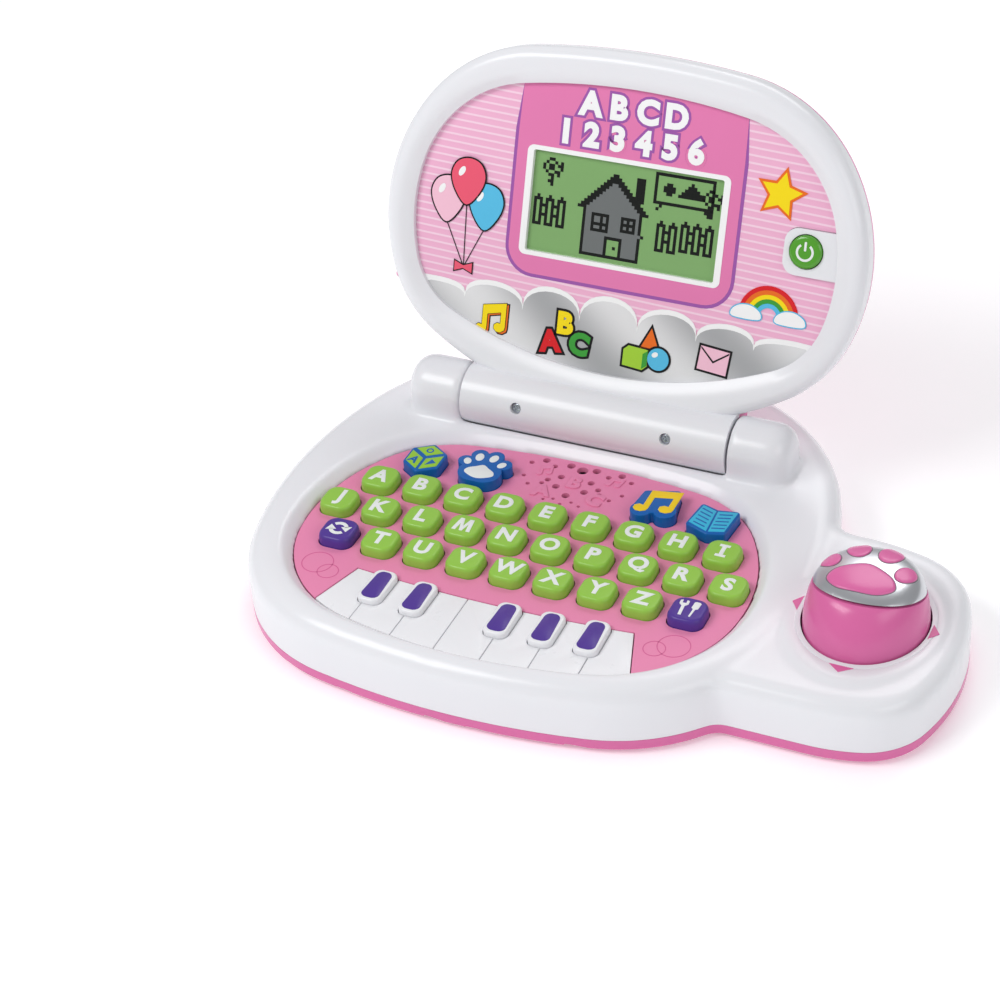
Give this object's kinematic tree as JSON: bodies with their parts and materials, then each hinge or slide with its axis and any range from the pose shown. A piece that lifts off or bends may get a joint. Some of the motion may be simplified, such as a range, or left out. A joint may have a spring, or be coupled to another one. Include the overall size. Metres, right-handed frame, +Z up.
{
  "type": "toy laptop computer",
  "caption": "Clamshell toy laptop: sprung letter and piano keys, hinged lid with a small display, side pod with a tilting mouse, and a carrying handle.",
  "frame": {"origin": "middle of the rectangle that the open toy covers, at table height", "axes": "+X to the user's right, towards the mouse; +Y away from the user, towards the handle; +Z up"},
  "size_m": [0.3091, 0.236, 0.1886],
  "materials": {
    "casing_white": "smooth glossy moulding",
    "casing_pink": "smooth glossy moulding",
    "panel_pink": "satin moulding",
    "key_lime": "satin moulding",
    "key_purple": "satin moulding",
    "key_blue": "satin moulding",
    "piano_white": "glossy",
    "piano_raised": "glossy, printed top",
    "cell_wrap": "printed wrap",
    "board_green": "solder mask",
    "speaker_black": "moulded frame, paper cone",
    "screen_print": "printed sheet",
    "display": "glass over a reflective display",
    "screw_steel": "zinc plated",
    "button_green": "glossy",
    "inner_plastic": "as moulded",
    "mouse_pink": "smooth glossy moulding",
    "mouse_silver": "metallic plating on plastic"
  },
  "bodies": {
    "base": {"base_upper_casing": "casing_white", "base_lower_casing": "casing_pink", "battery_door": "casing_pink", "batteries": "cell_wrap", "circuit_board": "board_green", "speaker": "speaker_black", "keyboard_panel": "panel_pink"},
    "lid": {"lid_front_casing": "casing_white", "lid_back_shell": "casing_pink", "screen_overlay": "screen_print", "lcd_module": "display", "lid_screws": "screw_steel"},
    "power_button": {"power_button": "button_green"},
    "mouse_rocker": {"mouse_rocker": "inner_plastic"},
    "mouse_body": {"mouse_body": "mouse_pink"},
    "mouse_cap": {"mouse_cap": "mouse_silver"},
    "key_a": {"key_a": "key_lime"},
    "key_b": {"key_b": "key_lime"},
    "key_c": {"key_c": "key_lime"},
    "key_d": {"key_d": "key_lime"},
    "key_e": {"key_e": "key_lime"},
    "key_f": {"key_f": "key_lime"},
    "key_g": {"key_g": "key_lime"},
    "key_h": {"key_h": "key_lime"},
    "key_i": {"key_i": "key_lime"},
    "key_j": {"key_j": "key_lime"},
    "key_k": {"key_k": "key_lime"},
    "key_l": {"key_l": "key_lime"},
    "key_m": {"key_m": "key_lime"},
    "key_n": {"key_n": "key_lime"},
    "key_o": {"key_o": "key_lime"},
    "key_p": {"key_p": "key_lime"},
    "key_q": {"key_q": "key_lime"},
    "key_r": {"key_r": "key_lime"},
    "key_s": {"key_s": "key_lime"},
    "key_t": {"key_t": "key_lime"},
    "key_u": {"key_u": "key_lime"},
    "key_v": {"key_v": "key_lime"},
    "key_w": {"key_w": "key_lime"},
    "key_x": {"key_x": "key_lime"},
    "key_y": {"key_y": "key_lime"},
    "key_z": {"key_z": "key_lime"},
    "repeat_key": {"repeat_key": "key_purple"},
    "tools_key": {"tools_key": "key_purple"},
    "block_key": {"block_key": "key_blue"},
    "paw_key": {"paw_key": "key_blue"},
    "note_key": {"note_key": "key_blue"},
    "book_key": {"book_key": "key_blue"},
    "piano_white_1": {"piano_white_1": "piano_white"},
    "piano_white_2": {"piano_white_2": "piano_white"},
    "piano_white_3": {"piano_white_3": "piano_white"},
    "piano_white_4": {"piano_white_4": "piano_white"},
    "piano_white_5": {"piano_white_5": "piano_white"},
    "piano_white_6": {"piano_white_6": "piano_white"},
    "piano_white_7": {"piano_white_7": "piano_white"},
    "piano_raised_1": {"piano_raised_1": "piano_raised"},
    "piano_raised_2": {"piano_raised_2": "piano_raised"},
    "piano_raised_3": {"piano_raised_3": "piano_raised"},
    "piano_raised_4": {"piano_raised_4": "piano_raised"},
    "piano_raised_5": {"piano_raised_5": "piano_raised"}
  },
  "joints": [
    {"name": "lid_hinge", "type": "hinge", "parent": "base", "child": "lid", "pos_m": [-0.03253, 0.04992, 0.0403], "axis": [1, 0, 0], "range_deg": [0, 111]},
    {"name": "power_press", "type": "slide", "parent": "lid", "child": "power_button", "axis": [0, 0.9336, -0.3584], "range_m": [0, 0.001], "stiffness_N_per_m": 400, "springref_m": -0.0006},
    {"name": "mouse_tilt_forward", "type": "hinge", "parent": "base", "child": "mouse_rocker", "pos_m": [0.11477, -0.03207, 0.03], "axis": [1, 0, 0], "range_deg": [-4, 4], "stiffness_Nm_per_rad": 1.5},
    {"name": "mouse_tilt_sideways", "type": "hinge", "parent": "mouse_rocker", "child": "mouse_body", "pos_m": [0.11477, -0.03207, 0.03], "axis": [0, 1, 0], "range_deg": [-4, 4], "stiffness_Nm_per_rad": 1.5},
    {"name": "mouse_click", "type": "slide", "parent": "mouse_body", "child": "mouse_cap", "axis": [0, -0.2924, -0.9563], "range_m": [0, 0.0008], "stiffness_N_per_m": 500, "springref_m": -0.0006},
    {"name": "key_a_press", "type": "slide", "parent": "base", "child": "key_a", "axis": [0, 0, -1], "range_m": [0, 0.0015], "stiffness_N_per_m": 300, "springref_m": -0.0006},
    {"name": "key_b_press", "type": "slide", "parent": "base", "child": "key_b", "axis": [0, 0, -1], "range_m": [0, 0.0015], "stiffness_N_per_m": 300, "springref_m": -0.0006},
    {"name": "key_c_press", "type": "slide", "parent": "base", "child": "key_c", "axis": [0, 0, -1], "range_m": [0, 0.0015], "stiffness_N_per_m": 300, "springref_m": -0.0006},
    {"name": "key_d_press", "type": "slide", "parent": "base", "child": "key_d", "axis": [0, 0, -1], "range_m": [0, 0.0015], "stiffness_N_per_m": 300, "springref_m": -0.0006},
    {"name": "key_e_press", "type": "slide", "parent": "base", "child": "key_e", "axis": [0, 0, -1], "range_m": [0, 0.0015], "stiffness_N_per_m": 300, "springref_m": -0.0006},
    {"name": "key_f_press", "type": "slide", "parent": "base", "child": "key_f", "axis": [0, 0, -1], "range_m": [0, 0.0015], "stiffness_N_per_m": 300, "springref_m": -0.0006},
    {"name": "key_g_press", "type": "slide", "parent": "base", "child": "key_g", "axis": [0, 0, -1], "range_m": [0, 0.0015], "stiffness_N_per_m": 300, "springref_m": -0.0006},
    {"name": "key_h_press", "type": "slide", "parent": "base", "child": "key_h", "axis": [0, 0, -1], "range_m": [0, 0.0015], "stiffness_N_per_m": 300, "springref_m": -0.0006},
    {"name": "key_i_press", "type": "slide", "parent": "base", "child": "key_i", "axis": [0, 0, -1], "range_m": [0, 0.0015], "stiffness_N_per_m": 300, "springref_m": -0.0006},
    {"name": "key_j_press", "type": "slide", "parent": "base", "child": "key_j", "axis": [0, 0, -1], "range_m": [0, 0.0015], "stiffness_N_per_m": 300, "springref_m": -0.0006},
    {"name": "key_k_press", "type": "slide", "parent": "base", "child": "key_k", "axis": [0, 0, -1], "range_m": [0, 0.0015], "stiffness_N_per_m": 300, "springref_m": -0.0006},
    {"name": "key_l_press", "type": "slide", "parent": "base", "child": "key_l", "axis": [0, 0, -1], "range_m": [0, 0.0015], "stiffness_N_per_m": 300, "springref_m": -0.0006},
    {"name": "key_m_press", "type": "slide", "parent": "base", "child": "key_m", "axis": [0, 0, -1], "range_m": [0, 0.0015], "stiffness_N_per_m": 300, "springref_m": -0.0006},
    {"name": "key_n_press", "type": "slide", "parent": "base", "child": "key_n", "axis": [0, 0, -1], "range_m": [0, 0.0015], "stiffness_N_per_m": 300, "springref_m": -0.0006},
    {"name": "key_o_press", "type": "slide", "parent": "base", "child": "key_o", "axis": [0, 0, -1], "range_m": [0, 0.0015], "stiffness_N_per_m": 300, "springref_m": -0.0006},
    {"name": "key_p_press", "type": "slide", "parent": "base", "child": "key_p", "axis": [0, 0, -1], "range_m": [0, 0.0015], "stiffness_N_per_m": 300, "springref_m": -0.0006},
    {"name": "key_q_press", "type": "slide", "parent": "base", "child": "key_q", "axis": [0, 0, -1], "range_m": [0, 0.0015], "stiffness_N_per_m": 300, "springref_m": -0.0006},
    {"name": "key_r_press", "type": "slide", "parent": "base", "child": "key_r", "axis": [0, 0, -1], "range_m": [0, 0.0015], "stiffness_N_per_m": 300, "springref_m": -0.0006},
    {"name": "key_s_press", "type": "slide", "parent": "base", "child": "key_s", "axis": [0, 0, -1], "range_m": [0, 0.0015], "stiffness_N_per_m": 300, "springref_m": -0.0006},
    {"name": "key_t_press", "type": "slide", "parent": "base", "child": "key_t", "axis": [0, 0, -1], "range_m": [0, 0.0015], "stiffness_N_per_m": 300, "springref_m": -0.0006},
    {"name": "key_u_press", "type": "slide", "parent": "base", "child": "key_u", "axis": [0, 0, -1], "range_m": [0, 0.0015], "stiffness_N_per_m": 300, "springref_m": -0.0006},
    {"name": "key_v_press", "type": "slide", "parent": "base", "child": "key_v", "axis": [0, 0, -1], "range_m": [0, 0.0015], "stiffness_N_per_m": 300, "springref_m": -0.0006},
    {"name": "key_w_press", "type": "slide", "parent": "base", "child": "key_w", "axis": [0, 0, -1], "range_m": [0, 0.0015], "stiffness_N_per_m": 300, "springref_m": -0.0006},
    {"name": "key_x_press", "type": "slide", "parent": "base", "child": "key_x", "axis": [0, 0, -1], "range_m": [0, 0.0015], "stiffness_N_per_m": 300, "springref_m": -0.0006},
    {"name": "key_y_press", "type": "slide", "parent": "base", "child": "key_y", "axis": [0, 0, -1], "range_m": [0, 0.0015], "stiffness_N_per_m": 300, "springref_m": -0.0006},
    {"name": "key_z_press", "type": "slide", "parent": "base", "child": "key_z", "axis": [0, 0, -1], "range_m": [0, 0.0015], "stiffness_N_per_m": 300, "springref_m": -0.0006},
    {"name": "repeat_key_press", "type": "slide", "parent": "base", "child": "repeat_key", "axis": [0, 0, -1], "range_m": [0, 0.0015], "stiffness_N_per_m": 300, "springref_m": -0.0006},
    {"name": "tools_key_press", "type": "slide", "parent": "base", "child": "tools_key", "axis": [0, 0, -1], "range_m": [0, 0.0015], "stiffness_N_per_m": 300, "springref_m": -0.0006},
    {"name": "block_key_press", "type": "slide", "parent": "base", "child": "block_key", "axis": [0, 0, -1], "range_m": [0, 0.0015], "stiffness_N_per_m": 300, "springref_m": -0.0006},
    {"name": "paw_key_press", "type": "slide", "parent": "base", "child": "paw_key", "axis": [0, 0, -1], "range_m": [0, 0.0015], "stiffness_N_per_m": 300, "springref_m": -0.0006},
    {"name": "note_key_press", "type": "slide", "parent": "base", "child": "note_key", "axis": [0, 0, -1], "range_m": [0, 0.0015], "stiffness_N_per_m": 300, "springref_m": -0.0006},
    {"name": "book_key_press", "type": "slide", "parent": "base", "child": "book_key", "axis": [0, 0, -1], "range_m": [0, 0.0015], "stiffness_N_per_m": 300, "springref_m": -0.0006},
    {"name": "piano_white_1_press", "type": "slide", "parent": "base", "child": "piano_white_1", "axis": [0, 0, -1], "range_m": [0, 0.0015], "stiffness_N_per_m": 300, "springref_m": -0.0006},
    {"name": "piano_white_2_press", "type": "slide", "parent": "base", "child": "piano_white_2", "axis": [0, 0, -1], "range_m": [0, 0.0015], "stiffness_N_per_m": 300, "springref_m": -0.0006},
    {"name": "piano_white_3_press", "type": "slide", "parent": "base", "child": "piano_white_3", "axis": [0, 0, -1], "range_m": [0, 0.0015], "stiffness_N_per_m": 300, "springref_m": -0.0006},
    {"name": "piano_white_4_press", "type": "slide", "parent": "base", "child": "piano_white_4", "axis": [0, 0, -1], "range_m": [0, 0.0015], "stiffness_N_per_m": 300, "springref_m": -0.0006},
    {"name": "piano_white_5_press", "type": "slide", "parent": "base", "child": "piano_white_5", "axis": [0, 0, -1], "range_m": [0, 0.0015], "stiffness_N_per_m": 300, "springref_m": -0.0006},
    {"name": "piano_white_6_press", "type": "slide", "parent": "base", "child": "piano_white_6", "axis": [0, 0, -1], "range_m": [0, 0.0015], "stiffness_N_per_m": 300, "springref_m": -0.0006},
    {"name": "piano_white_7_press", "type": "slide", "parent": "base", "child": "piano_white_7", "axis": [0, 0, -1], "range_m": [0, 0.0015], "stiffness_N_per_m": 300, "springref_m": -0.0006},
    {"name": "piano_raised_1_press", "type": "slide", "parent": "base", "child": "piano_raised_1", "axis": [0, 0, -1], "range_m": [0, 0.0015], "stiffness_N_per_m": 300, "springref_m": -0.0006},
    {"name": "piano_raised_2_press", "type": "slide", "parent": "base", "child": "piano_raised_2", "axis": [0, 0, -1], "range_m": [0, 0.0015], "stiffness_N_per_m": 300, "springref_m": -0.0006},
    {"name": "piano_raised_3_press", "type": "slide", "parent": "base", "child": "piano_raised_3", "axis": [0, 0, -1], "range_m": [0, 0.0015], "stiffness_N_per_m": 300, "springref_m": -0.0006},
    {"name": "piano_raised_4_press", "type": "slide", "parent": "base", "child": "piano_raised_4", "axis": [0, 0, -1], "range_m": [0, 0.0015], "stiffness_N_per_m": 300, "springref_m": -0.0006},
    {"name": "piano_raised_5_press", "type": "slide", "parent": "base", "child": "piano_raised_5", "axis": [0, 0, -1], "range_m": [0, 0.0015], "stiffness_N_per_m": 300, "springref_m": -0.0006}
  ]
}
